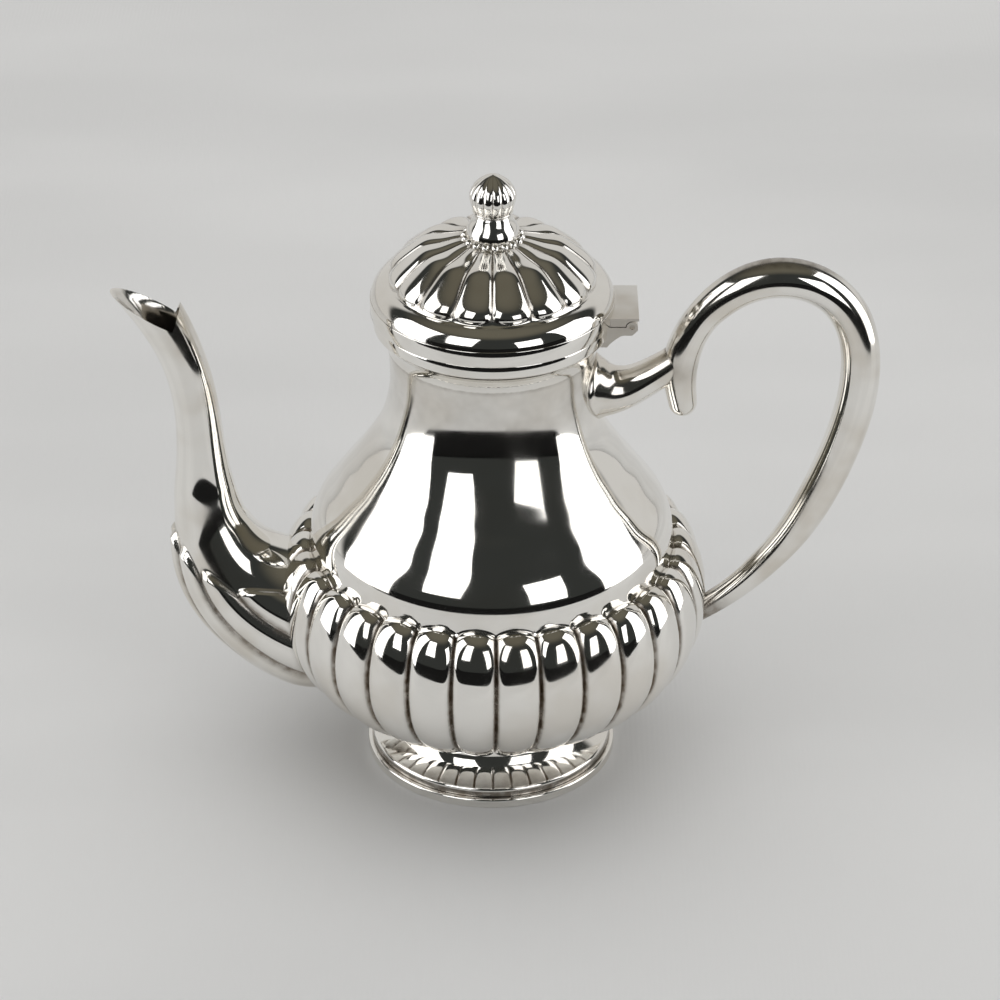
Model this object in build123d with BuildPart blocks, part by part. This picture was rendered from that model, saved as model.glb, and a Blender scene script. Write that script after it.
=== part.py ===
"""Silver coffee pot: raised body on a spun foot, swan-neck spout, scroll handle and hinged lid.

Millimetres, +Z up. The origin is the middle of the foot's underside. The spout points to -X,
the handle and the lid's hinge are on +X, and the hinge pin lies along Y.
"""
from build123d import *
import math
import os

# ---------------------------------------------------------------- driving dimensions
BODY_BASE_Z = 12.0            # flat underside of the body, inside the foot
BODY_BASE_RADIUS = 24.0
BELLY_RADIUS = 77.1
BELLY_Z = 61.0
SHOULDER_RADIUS = 64.4        # where the plain shoulder rises out of the lobed belly
SHOULDER_Z = 91.0
NECK_RADIUS = 35.6
NECK_Z = 154.0
SEAM_Z = 165.2                # soldered seam between the body and the mouth collar
SEAM_RADIUS = 36.4
BODY_WALL = 1.0

FOOT_RADIUS = 45.1
FOOT_RIM_HEIGHT = 3.6
FOOT_RIM_WIDTH = 4.4
FOOT_RIDGE_RADIUS = 42.9
FOOT_RIDGE_Z = 6.9
FOOT_WAIST_RADIUS = 33.6
FOOT_WALL = 0.9
FOOT_RIM_ROUND = 1.0
FOOT_RIM_CHAMFER = 0.3

RIM_TOP_Z = 178.0             # top of the mouth collar
COLLAR_RADIUS = 41.3
COLLAR_BAND = 3.9             # height of the collar's upright band
COLLAR_WALL = 1.7

LID_GAP = 0.3                 # the air between the closed lid and the collar
LID_RADIUS = 42.25
LID_BAND_HEIGHT = 5.75
LID_BAND_WALL = 1.5
LID_WALL = 1.0
DOME_RADIUS = 35.9            # foot of the fluted dome
DOME_SPHERE = 47.0            # radius of the dome's ball shape
DOME_TOP = 30.4               # dome top above the lid's underside
BEZEL_GAP = 0.7               # lets the bezel swing out of the mouth
BEZEL_WALL = 0.9
BEZEL_DEPTH = 3.4

PIN_RADIUS = 0.9
PIN_CLEARANCE = 0.04          # running clearance of the lid's knuckle on the pin
PIN_RECESS = 0.5
PIN_OUTSTAND = 5.65           # pin axis beyond the lid's band
KNUCKLE_RADIUS = 1.95
KNUCKLE_GAP = 0.3
KNUCKLE_BITE = 0.2            # how far the knuckle's root runs into its leaf
HINGE_WIDTH = 25.0
MIDDLE_KNUCKLE = 8.4
LEAF_COVER = 0.95             # metal of the lid leaf above the knuckles
LEAF_OVERHANG = 2.3           # lid leaf beyond the pin axis
LEAF_DROP = 3.25              # underside of the body leaf below the pin axis
LEAF_CHAMFER = 1.9
GUSSET_TOE = 2.4              # start of the body leaf's curved gusset inside the pin axis
GUSSET_DROP = 4.6             # how far the gusset runs down the collar

SPOUT_WALL = 1.0
SPOUT_TIP = (-131.8, 185.7)
SPOUT_NOTCH = (-109.4, 172.6)
SPOUT_PEAK = (-107.2, 181.4)
STRAINER_HOLE_RADIUS = 2.0
STRAINER_PITCH = 3.4

HANDLE_WALL = 1.1
SOCKET_WALL = 1.1

FINIAL_TOP_Z = 230.0
BUD_RADIUS = 7.65
BUD_HEIGHT = 15.2
FINIAL_NECK_RADIUS = 5.7
FINIAL_COLLAR_RADIUS = 8.65
FINIAL_COLLAR_HEIGHT = 5.8
CALYX_RADIUS = 8.3
CALYX_REACH = 11.3            # ring on which the petals' middles stand
PETAL_RADIUS = 1.5
PETAL_COUNT = 18
PETAL_LIFT = 0.3              # petals' middles above the dome
STUD_RADIUS = 1.5
STUD_REACH = 7.0              # stud inside the bud
WASHER_RADIUS = 4.6
WASHER_THICKNESS = 0.9
NUT_FLATS = 5.5
NUT_HEIGHT = 2.4
WASHER_CLEARANCE = 0.2
STUD_PROUD = 0.8              # stud below the nut

# ---------------------------------------------------------------- places that follow
LID_Z = RIM_TOP_Z + LID_GAP
BAND_TOP_Z = LID_Z + LID_BAND_HEIGHT
DOME_Z = LID_Z + DOME_TOP
COVE_Z = BAND_TOP_Z + 7.2      # foot of the dome, where the lid's roll begins
PIN_X = LID_RADIUS + PIN_OUTSTAND
PIN_Z = RIM_TOP_Z + LID_GAP / 2
COLLAR_BORE = COLLAR_RADIUS - COLLAR_WALL
BEZEL_RADIUS = COLLAR_BORE - BEZEL_GAP
BUD_Z = FINIAL_TOP_Z - BUD_HEIGHT
FINIAL_BASE_Z = BUD_Z - FINIAL_COLLAR_HEIGHT
CUT_REACH = 30.0              # how far a cutter runs past what it cuts


def dome_height(radius):
    """Height of the dome's surface at a distance from the axis."""
    return DOME_Z - DOME_SPHERE + math.sqrt(DOME_SPHERE**2 - radius**2)


def inset(curve, distance, count=12):
    """Points beside a curve, for the other face of a wall; a positive distance is to its left."""
    found = []
    for index in range(count + 1):
        share = index / count
        aside = (curve % share).rotate(Axis.Z, 90)
        found.append((curve @ share) + aside * distance)
    return found


def across(points):
    """Planes square to a path of (x, z, radius) points, each with its section's radius."""
    found = []
    for index, (x, z, radius) in enumerate(points):
        before = points[max(index - 1, 0)]
        after = points[min(index + 1, len(points) - 1)]
        along = (after[0] - before[0], 0, after[1] - before[1])
        found.append((Plane(origin=(x, 0, z), x_dir=(0, 1, 0), z_dir=along), radius))
    return found


# Outline of the body from its flat underside up to the collar seam.
BODY_OUTLINE = [
    (BODY_BASE_RADIUS, BODY_BASE_Z),
    (0.52 * BELLY_RADIUS, BODY_BASE_Z + 7.6),
    (0.68 * BELLY_RADIUS, BODY_BASE_Z + 15.3),
    (0.80 * BELLY_RADIUS, BODY_BASE_Z + 22.4),
    (0.90 * BELLY_RADIUS, BODY_BASE_Z + 30.4),
    (0.966 * BELLY_RADIUS, BELLY_Z - 10.0),
    (BELLY_RADIUS, BELLY_Z),
    (0.992 * BELLY_RADIUS, BELLY_Z + 8.5),
    (0.955 * BELLY_RADIUS, BELLY_Z + 17.0),
    (SHOULDER_RADIUS, SHOULDER_Z),
    (SHOULDER_RADIUS - 7.3, SHOULDER_Z + 15.0),
    (SHOULDER_RADIUS - 17.7, SHOULDER_Z + 31.0),
    (NECK_RADIUS + 2.3, NECK_Z - 15.5),
    (NECK_RADIUS, NECK_Z),
    (SEAM_RADIUS, SEAM_Z),
]
COLLAR_OUTLINE = [
    (SEAM_RADIUS, SEAM_Z),
    (SEAM_RADIUS + 1.2, SEAM_Z + 4.2),
    (COLLAR_RADIUS - 1.6, RIM_TOP_Z - COLLAR_BAND - 1.9),
    (COLLAR_RADIUS, RIM_TOP_Z - COLLAR_BAND),
]
# Spout axis and section radii, from inside the body wall up past the mouth.
SPOUT_PATH = [
    (30.1 - BELLY_RADIUS, BELLY_Z - 11.0, 20.5),
    (16.6 - BELLY_RADIUS, BELLY_Z - 7.4, 26.6),
    (4.1 - BELLY_RADIUS, BELLY_Z - 2.3, 26.0),
    (-7.5 - BELLY_RADIUS, BELLY_Z + 5.0, 23.0),
    (-16.1 - BELLY_RADIUS, BELLY_Z + 14.6, 19.7),
    (-98.6, 88.0, 15.9),
    (-101.3, 101.0, 12.2),
    (-102.2, 114.0, 9.7),
    (-102.9, 131.0, 8.2),
    (-105.9, 152.5, 7.8),
    (-110.4, 166.0, 8.1),
    (-117.0, 179.0, 8.7),
    (-126.0, 193.0, 9.4),
]
# Handle axis and section radii, from the tip of its spur round the loop into the belly.
HANDLE_PATH = [
    (66.9, 142.2, 4.5),
    (65.4, 151.0, 5.6),
    (66.4, 162.5, 6.2),
    (71.6, 174.3, 6.0),
    (79.3, 183.0, 6.4),
    (88.8, 188.9, 6.8),
    (99.2, 191.0, 7.0),
    (109.4, 189.2, 6.9),
    (118.6, 183.2, 6.8),
    (124.8, 174.0, 6.8),
    (127.8, 162.0, 6.8),
    (127.9, 149.0, 6.9),
    (125.6, 135.0, 6.9),
    (121.4, 120.5, 6.8),
    (115.6, 105.5, 6.6),
    (BELLY_RADIUS + 30.9, 90.5, 6.0),
    (BELLY_RADIUS + 21.1, 77.0, 5.2),
    (BELLY_RADIUS + 8.9, BELLY_Z + 3.5, 4.5),
    (BELLY_RADIUS - 4.6, BELLY_Z - 6.5, 3.9),
]
SOCKET_PATH = [
    (NECK_RADIUS - 9.6, NECK_Z - 5.0, 14.2),
    (NECK_RADIUS - 1.1, NECK_Z - 6.0, 11.9),
    (NECK_RADIUS + 5.2, NECK_Z - 6.8, 9.3),
    (NECK_RADIUS + 11.0, NECK_Z - 5.9, 7.5),
    (52.8, 151.0, 6.5),
    (59.0, 154.6, 6.4),
    (65.0, 158.0, 6.6),
]

DOME_OUTLINE = [
    (0, DOME_Z),
    (0.35 * DOME_RADIUS, dome_height(0.35 * DOME_RADIUS) + 0.3),
    (0.62 * DOME_RADIUS, dome_height(0.62 * DOME_RADIUS) + 0.9),
    (0.86 * DOME_RADIUS, dome_height(0.86 * DOME_RADIUS) + 1.3),
    (DOME_RADIUS, COVE_Z),
]
ROLL_OUTLINE = [
    (DOME_RADIUS, COVE_Z),
    (DOME_RADIUS + 1.6, BAND_TOP_Z + 5.7),
    (LID_RADIUS - 2.6, BAND_TOP_Z + 4.3),
    (LID_RADIUS - 0.7, BAND_TOP_Z + 2.3),
    (LID_RADIUS - 0.15, BAND_TOP_Z),
]

os.makedirs("parts", exist_ok=True)

# ---------------------------------------------------------------- solid shapes used as cutters
with BuildPart() as body_form:
    with BuildSketch(Plane.XZ):
        with BuildLine():
            underside = Line((0, BODY_BASE_Z), BODY_OUTLINE[0])
            side = Spline(BODY_OUTLINE, tangents=[(1, 0.3), (0.12, 1)])
            Polyline(side @ 1, (0, SEAM_Z), underside @ 0)
        make_face()
    revolve(axis=Axis.Z)

with BuildPart() as collar_form:
    with BuildSketch(Plane.XZ):
        with BuildLine():
            cove = Spline(COLLAR_OUTLINE, tangents=[(0.12, 1), (1, 1)])
            Polyline(cove @ 1, (COLLAR_RADIUS, RIM_TOP_Z), (0, RIM_TOP_Z), (0, SEAM_Z), cove @ 0)
        make_face()
    revolve(axis=Axis.Z)

with BuildPart() as handle_form:
    for plane, radius in across(HANDLE_PATH):
        with BuildSketch(plane):
            Circle(radius)
    loft()
    with Locations((HANDLE_PATH[0][0], 0, HANDLE_PATH[0][1])):
        Sphere(HANDLE_PATH[0][2])

with BuildPart() as spout_form:
    for plane, radius in across(SPOUT_PATH):
        with BuildSketch(plane):
            Circle(radius)
    loft()

# ---------------------------------------------------------------- body
# One raised shell: flat underside, lobed belly, plain shoulder and neck. The strainer is a
# patch of holes through its wall, behind the spout.
with BuildPart() as body_shell:
    with BuildSketch(Plane.XZ):
        with BuildLine():
            outer = Spline(BODY_OUTLINE, tangents=[(1, 0.3), (0.12, 1)])
            inner = Spline(inset(outer, BODY_WALL, 24), tangents=[outer % 0, outer % 1])
            Polyline(outer @ 0, (0, BODY_BASE_Z), (0, BODY_BASE_Z + BODY_WALL), inner @ 0)
            Line(inner @ 1, outer @ 1)
        make_face()
    revolve(axis=Axis.Z)
    with BuildSketch(Plane.YZ.offset(-BELLY_RADIUS - 1)):
        with Locations((0, BELLY_Z)):
            with HexLocations(STRAINER_PITCH, 4, 5):
                Circle(STRAINER_HOLE_RADIUS)
    extrude(amount=CUT_REACH, mode=Mode.SUBTRACT)
body_shell.part.label = "body_shell"
export_step(body_shell.part, "parts/body_shell.step")

# Flared collar soldered on the neck; its upright band meets the lid.
with BuildPart() as mouth_collar:
    with BuildSketch(Plane.XZ):
        with BuildLine():
            outer = Spline(COLLAR_OUTLINE, tangents=[(0.12, 1), (1, 1)])
            inner = Spline(inset(outer, COLLAR_WALL)[:-2] + [(COLLAR_BORE, RIM_TOP_Z - COLLAR_BAND + 1)])
            Polyline(outer @ 1, (COLLAR_RADIUS, RIM_TOP_Z), (COLLAR_BORE, RIM_TOP_Z), inner @ 1)
            Line(inner @ 0, outer @ 0)
        make_face()
    revolve(axis=Axis.Z)
mouth_collar.part.label = "mouth_collar"
export_step(mouth_collar.part, "parts/mouth_collar.step")

# ---------------------------------------------------------------- foot
with BuildPart() as foot_flare:
    with BuildSketch(Plane.XZ):
        with BuildLine():
            outer = Spline(
                (FOOT_WAIST_RADIUS, BODY_BASE_Z + 8),
                (FOOT_WAIST_RADIUS + 0.9, FOOT_RIDGE_Z + 6.4),
                (FOOT_WAIST_RADIUS + 3.9, FOOT_RIDGE_Z + 2.9),
                (FOOT_RIDGE_RADIUS - 0.9, FOOT_RIDGE_Z + 0.4),
                (FOOT_RIDGE_RADIUS + 0.4, FOOT_RIDGE_Z - 1.2),
                (FOOT_RIDGE_RADIUS + 0.4, FOOT_RIM_HEIGHT),
                tangents=[(0, -1), (0, -1)],
            )
            inner = Spline(inset(outer, -FOOT_WALL, 16), tangents=[(0, -1), (0, -1)])
            Line(outer @ 0, inner @ 0)
            Line(outer @ 1, inner @ 1)
        make_face()
    revolve(axis=Axis.Z)
    add(body_form.part, mode=Mode.SUBTRACT)
foot_flare.part.label = "foot_flare"
export_step(foot_flare.part, "parts/foot_flare.step")

with BuildPart() as foot_rim:
    with BuildSketch(Plane.XZ):
        with Locations((FOOT_RADIUS - FOOT_RIM_WIDTH / 2, FOOT_RIM_HEIGHT / 2)):
            Rectangle(FOOT_RIM_WIDTH, FOOT_RIM_HEIGHT)
    revolve(axis=Axis.Z)
    outer_edges = foot_rim.edges().filter_by(GeomType.CIRCLE).group_by(SortBy.RADIUS)[-1]
    fillet(outer_edges.sort_by(Axis.Z)[-1], radius=FOOT_RIM_ROUND)
    chamfer(outer_edges.sort_by(Axis.Z)[0], length=FOOT_RIM_CHAMFER)
foot_rim.part.label = "foot_rim"
export_step(foot_rim.part, "parts/foot_rim.step")

# ---------------------------------------------------------------- spout
with BuildPart() as spout:
    add(spout_form.part)
    for plane, radius in across(SPOUT_PATH):
        with BuildSketch(plane):
            Circle(radius - SPOUT_WALL)
    loft(mode=Mode.SUBTRACT)
    add(body_form.part, mode=Mode.SUBTRACT)
    with BuildSketch(Plane.XZ):
        with BuildLine():
            Polyline(
                (SPOUT_TIP[0] - CUT_REACH, SPOUT_TIP[1] + 0.56 * CUT_REACH),
                SPOUT_TIP,
                SPOUT_NOTCH,
                SPOUT_PEAK,
                (SPOUT_PEAK[0] + CUT_REACH, SPOUT_PEAK[1] + CUT_REACH),
                (SPOUT_TIP[0] - CUT_REACH, SPOUT_PEAK[1] + CUT_REACH),
                close=True,
            )
        make_face()
    extrude(amount=CUT_REACH, both=True, mode=Mode.SUBTRACT)
spout.part.label = "spout"
export_step(spout.part, "parts/spout.step")

# ---------------------------------------------------------------- handle
with BuildPart() as handle:
    add(handle_form.part)
    for plane, radius in across(HANDLE_PATH):
        with BuildSketch(plane):
            Circle(radius - HANDLE_WALL)
    loft(mode=Mode.SUBTRACT)
    add(body_form.part, mode=Mode.SUBTRACT)
handle.part.label = "handle"
export_step(handle.part, "parts/handle.step")

with BuildPart() as handle_socket:
    for plane, radius in across(SOCKET_PATH):
        with BuildSketch(plane):
            Circle(radius)
    loft()
    for plane, radius in across(SOCKET_PATH):
        with BuildSketch(plane):
            Circle(radius - SOCKET_WALL)
    loft(mode=Mode.SUBTRACT)
    add(body_form.part, mode=Mode.SUBTRACT)
    add(handle_form.part, mode=Mode.SUBTRACT)
handle_socket.part.label = "handle_socket"
export_step(handle_socket.part, "parts/handle_socket.step")

# ---------------------------------------------------------------- lid
with BuildPart() as lid_cover:
    with BuildSketch(Plane.XZ):
        with BuildLine():
            dome = Spline(DOME_OUTLINE, tangents=[(1, 0), (0.1, -1)])
            roll = Spline(ROLL_OUTLINE, tangents=[(0.4, -1), (0, -1)])
            dome_inside = Spline(inset(dome, -LID_WALL), tangents=[dome % 0, dome % 1])
            roll_inside = Spline(inset(roll, -LID_WALL), tangents=[roll % 0, roll % 1])
            Line(dome @ 0, dome_inside @ 0)
            Line(dome_inside @ 1, roll_inside @ 0)
            Line(roll @ 1, roll_inside @ 1)
        make_face()
    revolve(axis=Axis.Z)
    with Locations((0, 0, DOME_Z)):
        Cylinder(STUD_RADIUS, CUT_REACH, mode=Mode.SUBTRACT)
lid_cover.part.label = "lid_cover"
export_step(lid_cover.part, "parts/lid_cover.step")

with BuildPart() as lid_band:
    with BuildSketch(Plane.XZ):
        with BuildLine():
            Polyline(
                (BEZEL_RADIUS, LID_Z),
                (LID_RADIUS, LID_Z),
                (LID_RADIUS, BAND_TOP_Z),
                (LID_RADIUS - LID_BAND_WALL, BAND_TOP_Z),
                (LID_RADIUS - LID_BAND_WALL, LID_Z + LID_BAND_WALL),
                (BEZEL_RADIUS, LID_Z + LID_BAND_WALL),
                close=True,
            )
        make_face()
    revolve(axis=Axis.Z)
lid_band.part.label = "lid_band"
export_step(lid_band.part, "parts/lid_band.step")

with BuildPart() as lid_bezel:
    with BuildSketch(Plane.XY.offset(LID_Z - BEZEL_DEPTH)):
        Circle(BEZEL_RADIUS)
        Circle(BEZEL_RADIUS - BEZEL_WALL, mode=Mode.SUBTRACT)
    extrude(amount=BEZEL_DEPTH + LID_BAND_WALL)
lid_bezel.part.label = "lid_bezel"
export_step(lid_bezel.part, "parts/lid_bezel.step")

# ---------------------------------------------------------------- hinge
with BuildPart() as lid_form:
    with Locations((0, 0, LID_Z)):
        Cylinder(LID_RADIUS, LID_BAND_HEIGHT, align=(Align.CENTER, Align.CENTER, Align.MIN))

PIN_PLANE = Plane(origin=(PIN_X, 0, PIN_Z), x_dir=(1, 0, 0), z_dir=(0, -1, 0))

with BuildPart() as hinge_lid_leaf:
    with BuildSketch(Plane.XZ):
        with BuildLine():
            Polyline(
                (LID_RADIUS - CUT_REACH / 2, LID_Z),
                (PIN_X, LID_Z),
                (PIN_X, PIN_Z + KNUCKLE_RADIUS + KNUCKLE_GAP),
                (PIN_X + LEAF_OVERHANG, PIN_Z + KNUCKLE_RADIUS + KNUCKLE_GAP),
                (PIN_X + LEAF_OVERHANG, PIN_Z + KNUCKLE_RADIUS + KNUCKLE_GAP + LEAF_COVER),
                (LID_RADIUS - CUT_REACH / 2, PIN_Z + KNUCKLE_RADIUS + KNUCKLE_GAP + LEAF_COVER),
                close=True,
            )
        make_face()
    extrude(amount=HINGE_WIDTH / 2, both=True)
    with BuildSketch(PIN_PLANE):
        Circle(KNUCKLE_RADIUS + KNUCKLE_GAP)
    extrude(amount=HINGE_WIDTH, both=True, mode=Mode.SUBTRACT)
    with BuildSketch(PIN_PLANE):
        Circle(KNUCKLE_RADIUS)
        with Locations((0, (KNUCKLE_RADIUS + KNUCKLE_GAP) / 2 + KNUCKLE_BITE)):
            Rectangle(2 * KNUCKLE_RADIUS, KNUCKLE_RADIUS + KNUCKLE_GAP)
        Circle(PIN_RADIUS + PIN_CLEARANCE, mode=Mode.SUBTRACT)
    extrude(amount=MIDDLE_KNUCKLE / 2, both=True)
    add(lid_form.part, mode=Mode.SUBTRACT)
hinge_lid_leaf.part.label = "hinge_lid_leaf"
export_step(hinge_lid_leaf.part, "parts/hinge_lid_leaf.step")

LEAF_BASE_Z = PIN_Z - LEAF_DROP
with BuildPart() as hinge_body_leaf:
    with BuildSketch(Plane.XZ):
        with BuildLine():
            Polyline(
                (COLLAR_RADIUS - CUT_REACH / 2, RIM_TOP_Z),
                (PIN_X, RIM_TOP_Z),
                (PIN_X + KNUCKLE_RADIUS, PIN_Z - LID_GAP),
                (PIN_X + KNUCKLE_RADIUS, LEAF_BASE_Z + LEAF_CHAMFER),
                (PIN_X + KNUCKLE_RADIUS - LEAF_CHAMFER, LEAF_BASE_Z),
                (PIN_X - GUSSET_TOE, LEAF_BASE_Z),
            )
            Spline(
                (PIN_X - GUSSET_TOE, LEAF_BASE_Z),
                (COLLAR_RADIUS + 1.2, LEAF_BASE_Z - 1.4),
                (COLLAR_RADIUS - 1.8, LEAF_BASE_Z - GUSSET_DROP),
                tangents=[(-1, 0), (-0.5, -1)],
            )
            Polyline(
                (COLLAR_RADIUS - 1.8, LEAF_BASE_Z - GUSSET_DROP),
                (COLLAR_RADIUS - CUT_REACH / 2, LEAF_BASE_Z - GUSSET_DROP),
                (COLLAR_RADIUS - CUT_REACH / 2, RIM_TOP_Z),
            )
        make_face()
    extrude(amount=HINGE_WIDTH / 2, both=True)
    with BuildSketch(PIN_PLANE):
        Circle(KNUCKLE_RADIUS)
    extrude(amount=HINGE_WIDTH / 2, both=True)
    with BuildSketch(PIN_PLANE):
        Rectangle(2 * (KNUCKLE_RADIUS + KNUCKLE_GAP), 4 * LEAF_DROP)
    extrude(amount=MIDDLE_KNUCKLE / 2 + KNUCKLE_GAP, both=True, mode=Mode.SUBTRACT)
    with BuildSketch(PIN_PLANE):
        Circle(PIN_RADIUS)
    extrude(amount=HINGE_WIDTH, both=True, mode=Mode.SUBTRACT)
    add(collar_form.part, mode=Mode.SUBTRACT)
    add(body_form.part, mode=Mode.SUBTRACT)
hinge_body_leaf.part.label = "hinge_body_leaf"
export_step(hinge_body_leaf.part, "parts/hinge_body_leaf.step")

with BuildPart() as hinge_pin:
    with BuildSketch(PIN_PLANE):
        Circle(PIN_RADIUS)
    extrude(amount=HINGE_WIDTH / 2 - PIN_RECESS, both=True)
hinge_pin.part.label = "hinge_pin"
export_step(hinge_pin.part, "parts/hinge_pin.step")

# ---------------------------------------------------------------- finial
# A stack of three castings drawn down on the dome by a stud, washer and nut.
with BuildPart() as finial_calyx:
    with Locations((0, 0, FINIAL_BASE_Z)):
        Cylinder(CALYX_RADIUS, CUT_REACH, align=(Align.CENTER, Align.CENTER, Align.MAX))
    with PolarLocations(CALYX_REACH, PETAL_COUNT, start_angle=180 / PETAL_COUNT):
        with Locations((0, 0, dome_height(CALYX_REACH) + PETAL_LIFT)):
            Sphere(PETAL_RADIUS)
            Cylinder(
                0.8 * PETAL_RADIUS,
                CALYX_REACH - CALYX_RADIUS + PETAL_RADIUS,
                rotation=(0, 90, 0),
                align=(Align.CENTER, Align.CENTER, Align.MAX),
            )
    with BuildSketch(Plane.XZ):
        with BuildLine():
            crown = Spline(DOME_OUTLINE, tangents=[(1, 0), (0.1, -1)])
            Polyline(
                crown @ 1,
                (DOME_RADIUS, BAND_TOP_Z - CUT_REACH),
                (0, BAND_TOP_Z - CUT_REACH),
                crown @ 0,
            )
        make_face()
    revolve(axis=Axis.Z, mode=Mode.SUBTRACT)
    Cylinder(STUD_RADIUS, 2 * FINIAL_TOP_Z, mode=Mode.SUBTRACT)
finial_calyx.part.label = "finial_calyx"
export_step(finial_calyx.part, "parts/finial_calyx.step")

with BuildPart() as finial_collar:
    with BuildSketch(Plane.XZ):
        with BuildLine():
            swell = Spline(
                (CALYX_RADIUS - 0.3, FINIAL_BASE_Z),
                (FINIAL_COLLAR_RADIUS, FINIAL_BASE_Z + 1.3),
                (FINIAL_COLLAR_RADIUS - 1.2, FINIAL_BASE_Z + 3.9),
                (FINIAL_NECK_RADIUS, BUD_Z),
            )
            Polyline(swell @ 1, (STUD_RADIUS, BUD_Z), (STUD_RADIUS, FINIAL_BASE_Z), swell @ 0)
        make_face()
    revolve(axis=Axis.Z)
finial_collar.part.label = "finial_collar"
export_step(finial_collar.part, "parts/finial_collar.step")

with BuildPart() as finial_bud:
    with BuildSketch(Plane.XZ):
        with BuildLine():
            swell = Spline(
                (FINIAL_NECK_RADIUS, BUD_Z),
                (BUD_RADIUS - 0.6, BUD_Z + 0.2 * BUD_HEIGHT),
                (BUD_RADIUS, BUD_Z + 0.38 * BUD_HEIGHT),
                (0.9 * BUD_RADIUS, BUD_Z + 0.6 * BUD_HEIGHT),
                (0.62 * BUD_RADIUS, BUD_Z + 0.8 * BUD_HEIGHT),
                (0, FINIAL_TOP_Z),
            )
            Polyline(
                swell @ 1,
                (0, BUD_Z + STUD_REACH),
                (STUD_RADIUS, BUD_Z + STUD_REACH),
                (STUD_RADIUS, BUD_Z),
                swell @ 0,
            )
        make_face()
    revolve(axis=Axis.Z)
finial_bud.part.label = "finial_bud"
export_step(finial_bud.part, "parts/finial_bud.step")

WASHER_TOP_Z = DOME_Z - LID_WALL - WASHER_CLEARANCE
NUT_TOP_Z = WASHER_TOP_Z - WASHER_THICKNESS
STUD_BASE_Z = NUT_TOP_Z - NUT_HEIGHT - STUD_PROUD
with BuildPart() as finial_washer:
    with BuildSketch(Plane.XY.offset(NUT_TOP_Z)):
        Circle(WASHER_RADIUS)
        Circle(STUD_RADIUS, mode=Mode.SUBTRACT)
    extrude(amount=WASHER_THICKNESS)
finial_washer.part.label = "finial_washer"
export_step(finial_washer.part, "parts/finial_washer.step")

with BuildPart() as finial_nut:
    with BuildSketch(Plane.XY.offset(NUT_TOP_Z - NUT_HEIGHT)):
        RegularPolygon(NUT_FLATS / 2, 6, major_radius=False)
        Circle(STUD_RADIUS, mode=Mode.SUBTRACT)
    extrude(amount=NUT_HEIGHT)
finial_nut.part.label = "finial_nut"
export_step(finial_nut.part, "parts/finial_nut.step")

with BuildPart() as finial_stud:
    with BuildSketch(Plane.XY.offset(STUD_BASE_Z)):
        Circle(STUD_RADIUS)
    extrude(amount=BUD_Z + STUD_REACH - STUD_BASE_Z)
finial_stud.part.label = "finial_stud"
export_step(finial_stud.part, "parts/finial_stud.step")
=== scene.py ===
"""Looks of the silver coffee pot: raised and lobed silver, cast finial, and a pale studio round it."""

import math

import bpy
import numpy as np
from mathutils import Euler, Matrix, Vector


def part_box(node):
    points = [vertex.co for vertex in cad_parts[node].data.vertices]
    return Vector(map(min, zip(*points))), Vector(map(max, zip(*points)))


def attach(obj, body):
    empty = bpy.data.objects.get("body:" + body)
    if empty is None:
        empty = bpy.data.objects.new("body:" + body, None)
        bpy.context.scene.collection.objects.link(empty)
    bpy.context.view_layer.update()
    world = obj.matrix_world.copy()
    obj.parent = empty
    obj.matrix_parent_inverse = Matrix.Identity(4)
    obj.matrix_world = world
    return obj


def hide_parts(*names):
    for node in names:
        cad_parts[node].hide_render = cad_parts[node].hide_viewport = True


bl_info = {
    "name": "Silver Coffee Pot",
    "version": (1, 0, 0),
    "blender": (4, 5, 0),
    "location": "View3D > Sidebar > Coffee Pot",
    "description": "Raises the lobed silver pot, its lid, spout, handle and finial, and sets the studio",
    "category": "Add Mesh",
}

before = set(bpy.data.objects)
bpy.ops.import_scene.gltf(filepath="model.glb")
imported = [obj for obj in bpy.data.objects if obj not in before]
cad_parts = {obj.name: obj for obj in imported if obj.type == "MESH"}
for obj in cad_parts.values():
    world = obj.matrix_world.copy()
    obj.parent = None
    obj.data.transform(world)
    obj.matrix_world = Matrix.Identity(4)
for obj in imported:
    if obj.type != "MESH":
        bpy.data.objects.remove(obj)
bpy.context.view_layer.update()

MM = 0.001
FRONT = -math.pi / 2          # azimuth that faces the camera

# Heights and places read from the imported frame, in millimetres.
RIM_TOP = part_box("mouth_collar")[1][2] / MM
COLLAR_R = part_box("mouth_collar")[1][0] / MM
BAND_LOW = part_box("lid_band")[0][2] / MM
BAND_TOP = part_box("lid_band")[1][2] / MM
BAND_R = -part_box("lid_band")[0][0] / MM
DOME_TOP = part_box("lid_cover")[1][2] / MM
FOOT_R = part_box("foot_rim")[1][0] / MM
FINIAL_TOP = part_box("finial_bud")[1][2] / MM
BUD_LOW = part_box("finial_bud")[0][2] / MM

GROOVE_DEPTH = 2.3            # millimetres from the belly's lobes down to its grooves
LOBE_EASING = 0.5             # how much a lobe's columns crowd towards its grooves
GROOVE_EDGE = (0.8, 0.95)     # shares of a lobe's half width between which groove tarnish sets in
WELD = 0.002                  # millimetres within which corners are joined
CRISP = math.radians(50)      # edges sharper than this are not shaded smooth


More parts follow.
